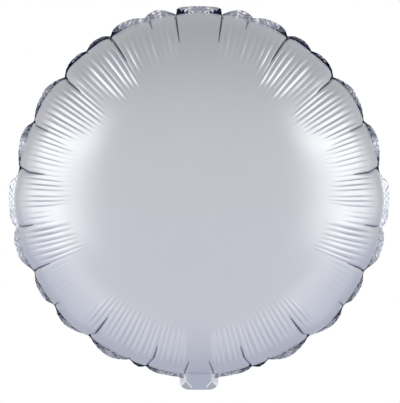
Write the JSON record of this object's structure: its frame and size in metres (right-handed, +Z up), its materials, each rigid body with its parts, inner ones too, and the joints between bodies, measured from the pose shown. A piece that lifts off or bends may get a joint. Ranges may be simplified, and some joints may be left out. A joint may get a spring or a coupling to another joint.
{
  "type": "round foil balloon",
  "caption": "Inflated round foil balloon: two domed foil panels gathered at a lobed welded rim, with a flat filling neck and inner valve films at the foot.",
  "frame": {"origin": "centre of the envelope, in the plane of the welded seam", "axes": "+Z up, away from the neck; +Y from the front panel to the back panel; +X to the right seen from the front"},
  "size_m": [0.3524, 0.2026, 0.3555],
  "materials": {
    "satin_foil": "satin metallised film",
    "bright_foil": "mirror-bright crumpled metallised film",
    "valve_film": "thin milky plastic film"
  },
  "bodies": {
    "root": {"front_panel": "satin_foil", "back_panel": "satin_foil", "rim_weld": "bright_foil", "neck_tab_front": "satin_foil", "neck_tab_back": "satin_foil", "neck_weld_left": "bright_foil", "neck_weld_right": "bright_foil", "valve_film_front": "valve_film", "valve_film_back": "valve_film"}
  },
  "joints": []
}
